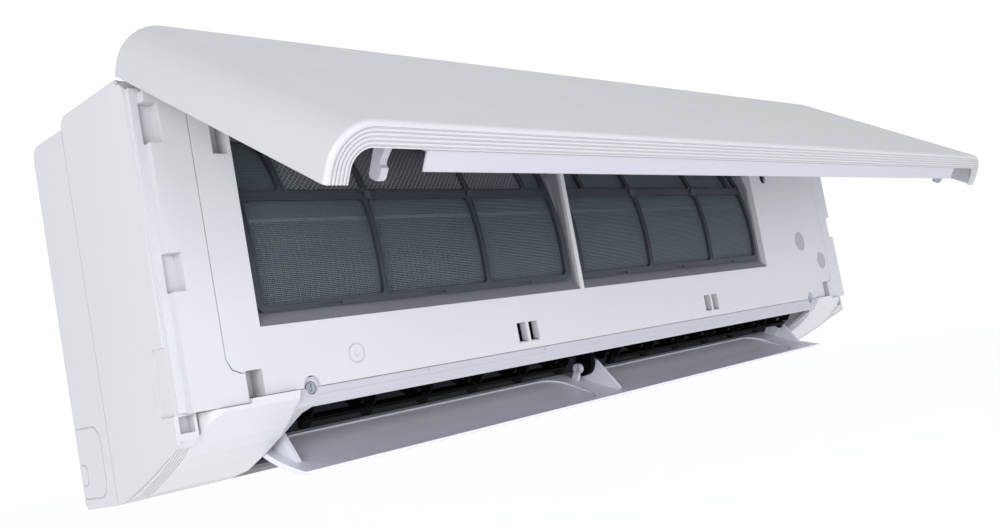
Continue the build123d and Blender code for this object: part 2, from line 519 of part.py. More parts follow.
# ---------------------------------------------------------------------------
# Scroll casing behind the blower, running out into the duct floor and the
# foot under it
# ---------------------------------------------------------------------------
SCROLL = [(-16.0, 140.0), (-13.4, 122.0), (-13.6, 100.0), (-19.5, 79.0), (-32.5, 62.5), (-48.0, 49.0), (-62.0, 32.0), (-73.0, 14.0)]
FLOOR = [(-32.5, 62.5), (-48.0, 49.0), (-62.0, 32.0), (-73.0, 14.0)]
with BuildPart() as scroll_case:
    curved_band(SCROLL, -2.4, -366.0 + 0.3, 275.0)
    curved_band(FLOOR, -2.4, 270.0, 365.7)
    side_prism([(-50.4, 1.6), (-75.0, 6.2), (-82.0, 8.9), (-81.0, 11.3), (-76.0, 12.2), (-72.5, 17.0), (-70.5, 15.8),
                (-72.5, 9.6), (-50.4, 4.2)], -365.7, 365.7)
    # end walls of the blower room and of the duct floor
    room = [(-17.0, 139.5), (-14.6, 122.0), (-14.8, 100.0), (-20.5, 79.5), (-33.5, 63.5), (-49.0, 50.0), (-63.0, 33.0),
            (-74.0, 15.0), (-75.0, 28.0), (-84.0, 47.0), (-101.0, 60.0), (-101.0, 120.0), (-85.0, 139.5)]
    side_prism(room, -365.7, -363.3)
    side_prism(room[:6] + [(-72.0, 66.0), (-98.0, 80.0), (-98.0, 120.0), (-85.0, 139.5)], 272.6, 275.0)
    side_prism([(-33.5, 63.5), (-49.0, 50.0), (-63.0, 33.0), (-74.0, 15.0), (-75.0, 28.0), (-84.0, 47.0), (-98.0, 56.0),
                (-70.0, 63.5)], 363.3, 365.7)
    rod_x(*FAN_AXIS, 10.0, -367, -362, mode=Mode.SUBTRACT)
    rod_x(*FAN_AXIS, 9.0, 270, 277, mode=Mode.SUBTRACT)
done(scroll_case.part, "scroll_case")

# ---------------------------------------------------------------------------
# Blower wheel with its shaft, bearing bush, motor and clamp
# ---------------------------------------------------------------------------
FAN_PLANE = Plane(origin=(FAN_X[0], FAN_AXIS[0], FAN_AXIS[1] - ZR), x_dir=(0, 1, 0), z_dir=(1, 0, 0))
with BuildPart() as blower:
    with BuildSketch(FAN_PLANE):
        with PolarLocations(0, 34):
            with BuildLine():
                Polyline((33.0, -0.6), (37.8, 1.3), (FAN_R - 0.3, 5.0), (FAN_R - 1.0, 6.0), (37.3, 2.4), (32.8, 0.7), close=True)
            make_face()
    extrude(amount=FAN_X[1] - FAN_X[0])
    for i in range(9):
        x = FAN_X[0] + i * (FAN_X[1] - FAN_X[0] - 1.6) / 8
        with BuildSketch(FAN_PLANE.offset(x - FAN_X[0])):
            Circle(FAN_R)
            if 0 < i < 8:
                Circle(31.0, mode=Mode.SUBTRACT)
        extrude(amount=1.6)
    rod_x(*FAN_AXIS, 11, FAN_X[1] - 14, FAN_X[1] + 2)
    rod_x(*FAN_AXIS, 4, FAN_X[1], 290)
    rod_x(*FAN_AXIS, 8, FAN_X[0] - 1, FAN_X[0] + 6)
    rod_x(*FAN_AXIS, 4, -361.5, FAN_X[0])
done(blower.part, "blower")

with BuildPart() as bearing_bush:
    rod_x(*FAN_AXIS, 10.0, -367.0, -357.5)
    rod_x(*FAN_AXIS, 4.06, -363.0, -357.0, mode=Mode.SUBTRACT)
done(bearing_bush.part, "bearing_bush")

with BuildPart() as fan_motor:
    rod_x(*FAN_AXIS, 41.0, 288, 342)
    rod_x(*FAN_AXIS, 12.0, 283, 345)
    fillet(fan_motor.edges().filter_by(GeomType.CIRCLE).filter_by(lambda e: abs(e.radius - 41.0) < 0.1), 5)
    rod_x(*FAN_AXIS, 4.06, 282, 291, mode=Mode.SUBTRACT)
done(fan_motor.part, "fan_motor")

with BuildPart() as motor_clamp:
    rod_x(*FAN_AXIS, 44.5, 303, 327)
    block(303, 327, -10.6, -62, 66, 76)
    block(303, 327, -10.6, -62, 134, 146)
    block(300, 330, -150, -62, 0, 200, mode=Mode.SUBTRACT)
    rod_x(*FAN_AXIS, 41.15, 300, 330, mode=Mode.SUBTRACT)
done(motor_clamp.part, "motor_clamp")

# ---------------------------------------------------------------------------
# Heat exchanger: three packs of fins, one tube circuit, two end plates
# ---------------------------------------------------------------------------
COIL_X = (-385.0, 250.0)
PACKS = {
    "fins_front": ((-123.0, 84.0), (0.0, 1.0), 86.0, [10.5, 31.5, 52.5, 73.5]),
    "fins_upper": ((-122.5, 181.0), (0.6892, 0.7245), 63.0, [10.5, 31.5, 52.5]),
    "fins_rear": ((-62.0, 236.0), (0.3677, -0.9300), 92.4, [14.7, 35.7, 56.7, 77.7]),
}
circuit_out, circuit_in = [], []
for name, ((y0, z0), (dy, dz), length, stations) in PACKS.items():
    ny, nz = (-dz, dy)     # out of the coil, away from the blower

    def at(s, n, y0=y0, z0=z0, dy=dy, dz=dz, ny=ny, nz=nz):
        return (y0 + dy * s + ny * n, z0 + dz * s + nz * n)
    outer = [at(s, 6.0) for s in stations]
    inner = [at(s, -6.0) for s in stations]
    circuit_out += outer
    circuit_in += inner
    with BuildPart() as fins:
        side_prism([at(0, -11.5), at(length, -11.5), at(length, 11.5), at(0, 11.5)], COIL_X[0], COIL_X[1])
        for y, z in outer + inner:
            rod_x(y, z, 3.6, COIL_X[0] - 1, COIL_X[1] + 1, mode=Mode.SUBTRACT)
    done(fins.part, name)

tubes_at = circuit_out + list(reversed(circuit_in))
COIL_PLATE = [(-134.8, 84.3), (-134.8, 172), (-132.5, 190), (-82, 242), (-60, 243), (-50, 241.5), (-15.5, 154), (-38.9, 143.5),
              (-66.5, 211), (-78, 209), (-111.3, 171.5), (-111.3, 84.3)]
for name, x in (("coil_plate_left", -387.2), ("coil_plate_right", 251.0)):
    with BuildPart() as coil_plate:
        side_prism(COIL_PLATE, x, x + 1.2)
        for y, z in tubes_at:
            rod_x(y, z, 3.6, x - 1, x + 3, mode=Mode.SUBTRACT)
    done(coil_plate.part, name)

with BuildPart() as coil_tubes:
    with BuildLine() as circuit:
        for i, (y, z) in enumerate(tubes_at):
            xa, xb = (258.0, -392.0) if i % 2 == 0 else (-392.0, 258.0)
            Line((xa, y, z - ZR), (xb, y, z - ZR))
            if i + 1 < len(tubes_at):
                yn, zn = tubes_at[i + 1]
                gap = math.hypot(yn - y, zn - z) / 2
                out = gap if xb > 0 else -gap
                ThreePointArc((xb, y, z - ZR), (xb + out, (y + yn) / 2, (z + zn) / 2 - ZR), (xb, yn, zn - ZR))
    with BuildSketch(Plane(origin=(258.0, tubes_at[0][0], tubes_at[0][1] - ZR), z_dir=(-1, 0, 0))):
        Circle(3.5)
        Circle(3.1, mode=Mode.SUBTRACT)
    sweep(path=circuit.line)
done(coil_tubes.part, "coil_tubes")


# ---------------------------------------------------------------------------
# Refrigerant pipes, flare nuts and drain hose, led to the channel at the back
# ---------------------------------------------------------------------------
def bent_tube(points, bend, r, bore=0.0):
    """A round tube through (x, y, height) points with bends of the given radius."""
    pts = [Vector(x, y, z - ZR) for x, y, z in points]
    bends = bend if isinstance(bend, list) else [bend] * (len(pts) - 2)
    with BuildLine() as path:
        here = pts[0]
        for i in range(1, len(pts) - 1):
            a = (pts[i - 1] - pts[i]).normalized()
            b = (pts[i + 1] - pts[i]).normalized()
            half = math.radians(a.get_angle(b)) / 2
            back = bends[i - 1] / math.tan(half)
            start, end = pts[i] + a * back, pts[i] + b * back
            mid = (a + b).normalized()
            centre = pts[i] + mid * (bends[i - 1] / math.sin(half))
            Line(here, start)
            ThreePointArc(start, centre - mid * bends[i - 1], end)
            here = end
        Line(here, pts[-1])
    with BuildSketch(Plane(origin=pts[0], z_dir=(pts[1] - pts[0]))) as sk:
        Circle(r)
        if bore:
            Circle(bore, mode=Mode.SUBTRACT)
    sweep(sk.sketch, path=path.line)


GAS_END, LIQ_END, DRAIN_END = (-20.0, -14.0, 38.0), (110.0, -14.0, 24.5), (215.0, -19.5, 12.0)
INNER_END = circuit_in[0]
OUTER_END = circuit_out[0]
with BuildPart() as gas_pipe:
    bent_tube([(258.5, *INNER_END), (355.5, *INNER_END), (355.5, -18, INNER_END[1]), (355.5, -18, 38), (240, -18, 38),
               (190, -14.0, 38), GAS_END], [9, 9, 14, 30, 30], PIPE_GAS_R, PIPE_GAS_R - 0.8)
    with Locations(Location((GAS_END[0] + 2.5, GAS_END[1], GAS_END[2] - ZR), (0, 90, 0))):
        Cone(PIPE_GAS_R, 7.0, 5.0, rotation=(180, 0, 0))
    rod_x(GAS_END[1], GAS_END[2], PIPE_GAS_R - 0.8, GAS_END[0] - 1, GAS_END[0] + 30, mode=Mode.SUBTRACT)
done(gas_pipe.part, "gas_pipe")

with BuildPart() as liquid_pipe:
    bent_tube([(258.5, *OUTER_END), (290, *OUTER_END), (308, OUTER_END[0], 122), (355.5, OUTER_END[0], 122), (355.5, -19.5, 122),
               (371.5, -19.5, 104), (371.5, -19.5, 24.5), (240, -19.5, 24.5), (190, -14.0, 24.5), LIQ_END],
              [8, 8, 9, 9, 8, 8, 12, 30, 30], PIPE_LIQ_R, PIPE_LIQ_R - 0.7)
    with Locations(Location((LIQ_END[0] + 2.0, LIQ_END[1], LIQ_END[2] - ZR), (0, 90, 0))):
        Cone(PIPE_LIQ_R, 4.6, 4.0, rotation=(180, 0, 0))
    rod_x(LIQ_END[1], LIQ_END[2], PIPE_LIQ_R - 0.7, LIQ_END[0] - 1, LIQ_END[0] + 30, mode=Mode.SUBTRACT)
done(liquid_pipe.part, "liquid_pipe")


def flare_nut(end, across, pipe_r, thread_r, length, turn):
    """A hexagon nut round the pipe's flared end, its thread open towards -X."""
    x0 = end[0] - 14.0
    with BuildPart() as nut:
        with BuildSketch(Plane(origin=(x0, end[1], end[2] - ZR), x_dir=(0, 1, 0), z_dir=(1, 0, 0))):
            RegularPolygon(across / 2, 6, major_radius=False, rotation=turn)
        extrude(amount=length)
        chamfer(nut.faces().sort_by(Axis.X)[-1].edges(), 1.0)
        rod_x(end[1], end[2], thread_r, x0 - 1, end[0] - 2.0, mode=Mode.SUBTRACT)
        rod_x(end[1], end[2], thread_r - 0.6, end[0] - 2.1, end[0] + 5.4, mode=Mode.SUBTRACT)
        rod_x(end[1], end[2], pipe_r + 0.15, x0, x0 + length + 1, mode=Mode.SUBTRACT)
    return nut.part


done(flare_nut(GAS_END, 22.0, PIPE_GAS_R, 7.8, 26.0, 0), "gas_nut")
done(flare_nut(LIQ_END, 17.0, PIPE_LIQ_R, 5.4, 24.0, 0), "liquid_nut")

with BuildPart() as drain_hose:
    bent_tube([(341.5, -124.0, 68.4), (386, -124.0, 68.4), (386, -19.5, 62), (386, -19.5, 12), DRAIN_END], [12, 12, 12], 6.5, 5.3)
    # outlet cuff
    rod_x(-19.5, 12.0, 7.3, 215, 257)
    rod_x(-19.5, 12.0, 6.2, 214, 255, mode=Mode.SUBTRACT)
    rod_x(-19.5, 12.0, 5.3, 254, 259, mode=Mode.SUBTRACT)
done(drain_hose.part, "drain_hose")

# ---------------------------------------------------------------------------
# Control box with board, terminal block and cover; signal board and window;
# manual button; louver motor
# ---------------------------------------------------------------------------
BOX_X, BOX_Y, BOX_Z = (366.0, 438.0), (-32.0, -134.0), (78.0, 236.0)
with BuildPart() as control_box:
    block(*BOX_X, *BOX_Y, *BOX_Z)
    block(BOX_X[0] + 2, BOX_X[1] - 2, BOX_Y[0] - 2, BOX_Y[1] - 1, BOX_Z[0] + 2, BOX_Z[1] - 2, mode=Mode.SUBTRACT)
    block(BOX_X[0] - 1, BOX_X[0] + 3, -60, -80, 150, 166, mode=Mode.SUBTRACT)
    for z in (100, 200):
        rod_y(402, z, 3, -34, -40)
done(control_box.part, "control_box")
with BuildPart() as control_cover:
    block(BOX_X[0] - 1, BOX_X[1] + 1, -134.2, -136.2, BOX_Z[0] - 1, BOX_Z[1] + 1)
    block(BOX_X[0] + 2.2, BOX_X[1] - 2.2, -134.2, -130.0, BOX_Z[1] - 4.0, BOX_Z[1] - 2.4)
    block(BOX_X[0] + 2.2, BOX_X[1] - 2.2, -134.2, -130.0, BOX_Z[0] + 2.4, BOX_Z[0] + 4.0)
    for z in (110, 122, 134, 146, 158, 170):
        block(385, 420, -133, -138, z, z + 3, mode=Mode.SUBTRACT)
done(control_cover.part, "control_cover")
with BuildPart() as circuit_board:
    block(371, 433, -40.2, -41.8, 84, 230)
    block(376, 400, -41.8, -66, 180, 206)         # transformer
    rod_y(420, 190, 7, -41.8, -70)                # capacitors
    rod_y(420, 165, 5, -41.8, -60)
    block(378, 392, -41.8, -56, 140, 158)         # relay
    block(376, 428, -41.8, -50, 212, 220)
    block(380, 410, -41.8, -44, 112, 128)
done(circuit_board.part, "circuit_board")
with BuildPart() as terminal_block:
    block(374, 430, -84, -104, 80.2, 98)
    for i in range(5):
        block(376.5 + 10.6 * i, 384.5 + 10.6 * i, -83, -96, 90, 99, mode=Mode.SUBTRACT)
        with BuildSketch(DECK.offset(90)):
            with Locations((380.5 + 10.6 * i, -90)):
                Circle(2.8)
        extrude(amount=3)
done(terminal_block.part, "terminal_block")
with BuildPart() as signal_board:
    block(342, 411, -139.0, -140.6, 94, 137)
    block(395.5, 401.5, -140.6, -143.8, 95.7, 101.7)
    rod_y(353.5, 124.0, 4.0, -140.6, -146.3)
    block(366, 372, -140.6, -143.0, 110, 130)
    block(380, 400, -140.6, -144.0, 126, 132)
done(signal_board.part, "signal_board")
with BuildPart() as signal_window:
    rod_y(353.5, 124.0, 10.9, -148.4, -150.9)
    rod_y(353.5, 124.0, 13.0, -146.8, -148.4)
    fillet(signal_window.faces().sort_by(Axis.Y)[0].edges(), 0.6)
done(signal_window.part, "signal_window")
with BuildPart() as manual_button:
    rod_y(398.5, 98.7, 9.9, -147.5, -151.2)
    rod_y(398.5, 98.7, 11.3, -146.9, -148.4)
    rod_y(398.5, 98.7, 2.4, -145.5, -147.5)
    fillet(manual_button.faces().sort_by(Axis.Y)[0].edges(), 0.5)
done(manual_button.part, "manual_button")
with BuildPart() as louver_motor:
    rod_x(*LOUVER_AXIS, 9.0, 369.2, 388.0)
    block(369.2, 371.0, LOUVER_AXIS[0] - 3.5, LOUVER_AXIS[0] + 15, LOUVER_AXIS[1] - 3.5, LOUVER_AXIS[1] + 3.5)
    block(372, 386, LOUVER_AXIS[0] - 6, LOUVER_AXIS[0] + 6, LOUVER_AXIS[1] + 5, LOUVER_AXIS[1] + 14)
    rod_x(*LOUVER_AXIS, 2.56, 368, 378, mode=Mode.SUBTRACT)
done(louver_motor.part, "louver_motor")

# ---------------------------------------------------------------------------
# Upright vanes and their link bars
# ---------------------------------------------------------------------------
VANE_SHAPE = [(-23, 2.5), (-20, 0.9), (18, 0.9), (18, 23), (12, 30), (-5, 30), (-8, 27), (-9.5, 18), (-20.5, 18), (-23, 15.5)]
for side, places in (("l", VANE_LEFT), ("r", VANE_RIGHT)):
    for i, x in enumerate(places):
        with BuildPart() as vane:
            side_prism([ud(*p) for p in VANE_SHAPE], x - 0.8, x + 0.8)
            rod_d(x, 0, -2.5, 6, 2.0)
            rod_d(x, 0, 0.4, 1.6, 3.6)
            rod_d(x, -15, 14, 23.8, 1.5)
            rod_d(x, -15, 18.5, 20.2, 2.6)
        done(vane.part, f"vane_{side}{i + 1}")

for name, places, x0, x1 in (("link_left", VANE_LEFT, VANE_LEFT[0] - 3.2, VANE_LEFT[-1] + 5.5),
                             ("link_right", VANE_RIGHT, VANE_RIGHT[0] - 3.2, VANE_RIGHT[-1] + 5.5)):
    with BuildPart() as link:
        side_prism([ud(-18, 20.6), ud(-12, 20.6), ud(-12, 23.6), ud(-18, 23.6)], x0, x1)
        for i, x in enumerate(places):
            a = x - (6.0 if x0 < x - 5 else 3.0)
            y, z = ud(-17.2, 0)
            with BuildSketch(Plane(origin=(0, y, z - ZR), x_dir=(1, 0, 0), z_dir=(0, UU[0], UU[1]))):
                with BuildLine():
                    Polyline((max(a, x0), 23.4), (x + 5.5, 23.4), (x + 3.4, 28.6), (x - 2.6, 28.6), close=True)
                make_face()
            extrude(amount=4.4)
            rod_d(x, -15, 20, 24.2, 1.54 if i == 0 else 1.75, mode=Mode.SUBTRACT)
    done(link.part, name)

# ---------------------------------------------------------------------------
# Louver: a tapering blade with two shallow panels on its inner face, end arms,
# a middle arm and pivots. Drawn closed, then swung open about its axis.
# ---------------------------------------------------------------------------
BLADE = [(-150.5, 45.5), (-143.0, 38.5), (-131.0, 29.5), (-121.0, 23.5), (-104.0, 15.5), (-88.5, 9.5)]
BLADE_T = [2.2, 3.2, 4.0, 4.0, 4.0, 2.6]
ARM = [(-88.0, 24.7), (-88.6, 31.0), (-91.0, 34.8), (-95.0, 37.4), (-99.2, 38.2), (-132.0, 35.6), (-131.4, 31.0), (-121.0, 24.5),
       (-104.0, 16.5), (-90.0, 11.8)]
MID_ARM = [(-93.6, 29.0), (-94.6, 36.0), (-98.0, 41.4), (-103.9, 43.4), (-139.6, 42.6), (-139.2, 36.5), (-131.0, 31.0),
           (-121.0, 24.5), (-104.0, 16.5), (-94.0, 13.0)]
with BuildPart() as recess_windows:
    for xc, w in ((-195.0, 314.0), (157.0, 330.0)):
        with BuildSketch(Plane(origin=(xc, -119.5, 26.5 - ZR), x_dir=(1, 0, 0), z_dir=(0, 0.502, 0.865))):
            RectangleRounded(w, 60, 24)
        extrude(amount=25, both=True)
with BuildPart() as blade_recess:
    curved_band(shifted(BLADE, [0.9, 1.9, 2.8, 2.8, 2.8, 1.4]), 8.0, -360, 360)
    add(recess_windows.part, mode=Mode.INTERSECT)
with BuildPart() as louver_closed:
    curved_band(BLADE, BLADE_T, -365.3, 365.3)
    add(blade_recess.part, mode=Mode.SUBTRACT)
    for s in (-1, 1):
        a, b = (354.2, 357.2) if s > 0 else (-357.2, -354.2)
        side_prism(ARM, a, b)
        rod_x(*LOUVER_AXIS, 2.5, min(s * 355, s * (372 if s > 0 else 368.3)), max(s * 355, s * (372 if s > 0 else 368.3)))
        # sunken field on the arm's inner side
        side_prism([(-101.0, 34.8), (-124.0, 33.2), (-112.0, 24.4), (-103.0, 21.0)], s * 354.1, s * 354.9, mode=Mode.SUBTRACT)
with BuildPart() as louver_mid:
    side_prism(MID_ARM, -12.6, -10.2)
    # thickened front edge of the middle arm
    side_prism([(-103.9, 43.4), (-139.6, 42.6), (-139.6, 40.8), (-104.2, 41.4)], -13.0, -9.8)
    rod_x(*LOUVER_AXIS, 2.2, -21.0, -10.2)
    # eye of the middle pivot on its stub
    rod_x(*LOUVER_AXIS, 4.8, -25.0, -20.6)
    side_prism([(-102.2, 26.8), (-96.6, 25.0), (-99.6, 15.8), (-106.4, 19.2)], -25.0, -21.6)
    rod_x(*LOUVER_AXIS, 3.1, -25.2, -22.0, mode=Mode.SUBTRACT)
    # the middle arm stands on the blade as a piece of its own
    add(louver_closed.part, mode=Mode.SUBTRACT)
LOUVER_AX = Axis((0, LOUVER_AXIS[0], LOUVER_AXIS[1] - ZR), (1, 0, 0))
louver_pieces = Compound([*louver_closed.part.solids(), *louver_mid.part.solids()])
print("louver solids", [round(q.volume, 1) for q in louver_pieces.solids()])
done(louver_pieces.rotate(LOUVER_AX, LOUVER_OPEN), "louver")

# ---------------------------------------------------------------------------
# Front panel, drawn closed, then lifted about its hinge
# ---------------------------------------------------------------------------
PANEL_BOT = PANEL_TOP - PANEL_LEN


def panel_outline(t):
    """Plan of the panel, drawn in by t at the flanks and the face."""
    x, y, r = PANEL_X - t, PANEL_Y - PANEL_D + t, PANEL_R - t
    with BuildSketch(DECK) as sk:
        with BuildLine():
            Polyline((-x, PANEL_Y), (-x, y + r))
            RadiusArc((-x, y + r), (-x + r, y), -r)
            Line((-x + r, y), (x - r, y))
            RadiusArc((x - r, y), (x, y + r), -r)
            Polyline((x, y + r), (x, PANEL_Y), (-x, PANEL_Y))
        make_face()
    return sk.sketch


with BuildPart() as panel_closed:
    extrude(panel_outline(0).moved(Location((0, 0, PANEL_BOT))), amount=PANEL_LEN)
    fillet(panel_closed.faces().sort_by(Axis.Z)[-1].edges().filter_by(lambda e: e.center().Y < PANEL_Y - 0.5), 3.0)
    fillet(panel_closed.faces().sort_by(Axis.Z)[0].edges().filter_by(lambda e: e.center().Y < PANEL_Y - 0.5), 2.6)
    extrude(panel_outline(WALL).moved(Location((0, 0, PANEL_BOT + WALL))), amount=PANEL_LEN - 2 * WALL, mode=Mode.SUBTRACT)
    block(-PANEL_X + WALL, PANEL_X - WALL, PANEL_Y + 1, PANEL_Y - 2, PANEL_BOT + WALL, PANEL_TOP - WALL, mode=Mode.SUBTRACT)
    # the lower end plate is cut out to a band round the flanks and the face
    extrude(panel_outline(BAND).moved(Location((0, 0, PANEL_BOT - 1))), amount=WALL + 2, mode=Mode.SUBTRACT)
    # fine grooves along the band
    for k in range(5):
        t = 3.5 + 2.3 * k
        groove = panel_outline(t) - panel_outline(t + 0.9)
        extrude(groove.moved(Location((0, 0, PANEL_BOT - 1))), amount=1.6, mode=Mode.SUBTRACT)
    # hinge arms with their pins
    for x0, x1 in ((-393.6, -387.4), (-1.1, 5.1), (387.4, 393.6)):
        side_prism([(-139.6, 264.6), (-143.2, 266.0), (-160.0, 266.0), (-143.4, 257.6), (-140.8, 256.9)], x0, x1)
        rod_x(*HINGE, 3.9, x0, x1)
        rod_x(*HINGE, 2.0, x0 - 3.2, x1 + 3.2)
    # twin prongs and stiffening ribs
    for xc in (-137.75, 141.5):
        for s in (-1, 1):
            block(xc + s * 7 - 1.4, xc + s * 7 + 1.4, -147.6, PANEL_Y - PANEL_D + 1, 66, 72)
            block(xc + s * 7 - 2.4, xc + s * 7 + 2.4, -147.6, -149.4, 66, 72.6)
        block(xc - 12, xc + 12, -166, PANEL_Y - PANEL_D + 1, 64, 74)
    for z in (110.0, 185.0):
        block(-430, 430, -170.5, PANEL_Y - PANEL_D + 1, z, z + 1.6)
    for x in (-300, -150, 0, 150, 300):
        block(x - 0.8, x + 0.8, -170.5, PANEL_Y - PANEL_D + 1, 75, 255)
PANEL_AX = Axis((0, HINGE[0], HINGE[1] - ZR), (1, 0, 0))
done(panel_closed.part.rotate(PANEL_AX, -PANEL_OPEN), "front_panel")

LINER = [(-149.6, 45.2), (-161.6, 45.2), (-161.6, 48.0), (-173.8, 48.0), (-173.8, 49.6), (-160.2, 49.6), (-160.2, 46.6), (-149.6, 46.6)]
with BuildPart() as liner_closed:
    side_prism(LINER, -386.5, 374.0)
    for x in (-380.0, -190.0, 0.0, 190.0, 368.0):
        side_prism([(-173.8, 49.0), (-161.0, 49.0), (-173.8, 57.0)], x - 0.8, x + 0.8)
done(liner_closed.part.rotate(PANEL_AX, -PANEL_OPEN), "panel_liner")

HOOK = [(-173.9, 72.5), (-173.9, 60.0), (-160, 61.5), (-150.0, 64.6), (-147.6, 64.4), (-146.4, 62.2), (-140.4, 62.6), (-138.4, 64.4),
        (-138.4, 69.6), (-140.0, 71.4), (-158, 71.6)]
for name, x0 in (("latch_left", -400.9), ("latch_right", 395.9)):
    with BuildPart() as latch_closed:
        side_prism(HOOK, x0, x0 + 5.0)
        block(x0 - 2, x0 + 7, -171.5, -173.9, 58.8, 74)
    done(latch_closed.part.rotate(PANEL_AX, -PANEL_OPEN), name)
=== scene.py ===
import json
import math

import bpy
import numpy as np
from mathutils import Matrix, Vector


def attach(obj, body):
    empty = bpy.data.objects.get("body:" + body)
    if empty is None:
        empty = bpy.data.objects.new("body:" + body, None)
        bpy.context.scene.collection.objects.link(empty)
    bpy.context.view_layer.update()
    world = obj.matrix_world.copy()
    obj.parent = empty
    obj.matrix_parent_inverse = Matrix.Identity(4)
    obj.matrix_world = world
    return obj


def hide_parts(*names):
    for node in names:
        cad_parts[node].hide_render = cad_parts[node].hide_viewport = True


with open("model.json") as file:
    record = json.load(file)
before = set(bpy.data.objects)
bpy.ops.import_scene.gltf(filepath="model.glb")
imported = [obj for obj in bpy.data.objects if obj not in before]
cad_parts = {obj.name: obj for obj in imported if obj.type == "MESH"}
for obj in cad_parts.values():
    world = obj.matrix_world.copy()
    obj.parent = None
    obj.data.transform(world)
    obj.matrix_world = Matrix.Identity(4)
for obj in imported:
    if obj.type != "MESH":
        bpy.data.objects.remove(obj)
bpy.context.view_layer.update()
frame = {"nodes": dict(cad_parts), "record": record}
NODES = frame["nodes"]
ZR = 0.140          # height of the origin above the unit's rear lower edge


# ---------------------------------------------------------------------------
# Materials
# ---------------------------------------------------------------------------
class Nodes:
    """Small helper that builds a node tree."""

    def __init__(self, name):
        self.mat = bpy.data.materials.new(name)
        self.mat.use_nodes = True
        self.t = self.mat.node_tree
        self.t.nodes.clear()
        self.out = self.t.nodes.new("ShaderNodeOutputMaterial")
        self.bsdf = self.t.nodes.new("ShaderNodeBsdfPrincipled")
        self.t.links.new(self.bsdf.outputs[0], self.out.inputs[0])
        self.pos = self.t.nodes.new("ShaderNodeTexCoord").outputs["Object"]

    def new(self, kind, **inputs):
        n = self.t.nodes.new(kind)
        for k, v in inputs.items():
            k = k.replace("_", " ")
            if isinstance(v, bpy.types.NodeSocket):
                self.t.links.new(v, n.inputs[k])
            else:
                n.inputs[k].default_value = v
        return n

    def link(self, a, b):
        self.t.links.new(a, b)

    def noise(self, scale, detail=2.0, rough=0.5, vector=None, stretch=None):
        v = vector or self.pos
        if stretch:
            m = self.t.nodes.new("ShaderNodeMapping")
            m.inputs["Scale"].default_value = stretch
            self.link(v, m.inputs["Vector"])
            v = m.outputs[0]
        n = self.new("ShaderNodeTexNoise", Scale=scale, Detail=detail, Roughness=rough)
        self.link(v, n.inputs["Vector"])
        return n.outputs["Fac"]

    def ramp(self, fac, stops):
        r = self.t.nodes.new("ShaderNodeValToRGB")
        r.color_ramp.elements[0].position = stops[0][0]
        r.color_ramp.elements[0].color = (*stops[0][1], 1)
        r.color_ramp.elements[1].position = stops[-1][0]
        r.color_ramp.elements[1].color = (*stops[-1][1], 1)
        for p, c in stops[1:-1]:
            e = r.color_ramp.elements.new(p)
            e.color = (*c, 1)
        self.link(fac, r.inputs["Fac"])
        return r.outputs["Color"]

    def span(self, fac, lo, hi, a=0.3, b=0.7):
        m = self.t.nodes.new("ShaderNodeMapRange")
        m.inputs["From Min"].default_value = a
        m.inputs["From Max"].default_value = b
        m.inputs["To Min"].default_value = lo
        m.inputs["To Max"].default_value = hi
        self.link(fac, m.inputs["Value"])
        return m.outputs[0]

    def bump(self, height, strength, distance):
        b = self.t.nodes.new("ShaderNodeBump")
        b.inputs["Strength"].default_value = strength
        b.inputs["Distance"].default_value = distance
        self.link(height, b.inputs["Height"])
        self.link(b.outputs[0], self.bsdf.inputs["Normal"])
        return b


def shade(c, k):
    return tuple(min(1.0, x * k) for x in c)


def plastic(name, colour, rough, grain=0.15, vary=0.03, spread=0.06, ior=1.46, gloss=0.5, edge=0.0):
    """Moulded plastic: fine grain, slow changes of tone and gloss, softened edges."""
    m = Nodes(name)
    slow = m.noise(7.0, 3.0, 0.55)
    m.link(m.ramp(slow, [(0.3, shade(colour, 1 - vary)), (0.7, shade(colour, 1 + vary))]), m.bsdf.inputs["Base Color"])
    m.link(m.span(m.noise(38.0, 3.0, 0.6), rough - spread, rough + spread), m.bsdf.inputs["Roughness"])
    b = m.bump(m.noise(2600.0, 2.0, 0.6), grain, 0.0002)
    if edge:
        r = m.t.nodes.new("ShaderNodeBevel")
        r.samples = 4
        r.inputs["Radius"].default_value = edge
        m.link(r.outputs[0], b.inputs["Normal"])
    m.bsdf.inputs["IOR"].default_value = ior
    m.bsdf.inputs["Specular IOR Level"].default_value = gloss
    return m.mat


def metal(name, colour, rough, stretch=(1, 1, 1), scale=400.0, grain=0.2, vary=0.08):
    m = Nodes(name)
    streak = m.noise(scale, 3.0, 0.6, stretch=stretch)
    m.link(m.ramp(streak, [(0.3, shade(colour, 1 - vary)), (0.7, shade(colour, 1 + vary))]), m.bsdf.inputs["Base Color"])
    m.link(m.span(streak, rough - 0.07, rough + 0.09), m.bsdf.inputs["Roughness"])
    m.bsdf.inputs["Metallic"].default_value = 1.0
    m.bump(streak, grain, 0.0002)
    return m.mat


def zinc(name):
    m = Nodes(name)
    v = m.t.nodes.new("ShaderNodeTexVoronoi")
    v.inputs["Scale"].default_value = 95.0
    m.link(m.pos, v.inputs["Vector"])
    m.link(m.ramp(v.outputs["Color"], [(0.2, (0.50, 0.52, 0.54)), (0.8, (0.70, 0.72, 0.74))]), m.bsdf.inputs["Base Color"])
    m.link(m.span(v.outputs["Distance"], 0.32, 0.5, 0.0, 0.8), m.bsdf.inputs["Roughness"])
    m.bsdf.inputs["Metallic"].default_value = 0.9
    m.bump(m.noise(900.0, 2.0, 0.5), 0.15, 0.0002)
    return m.mat


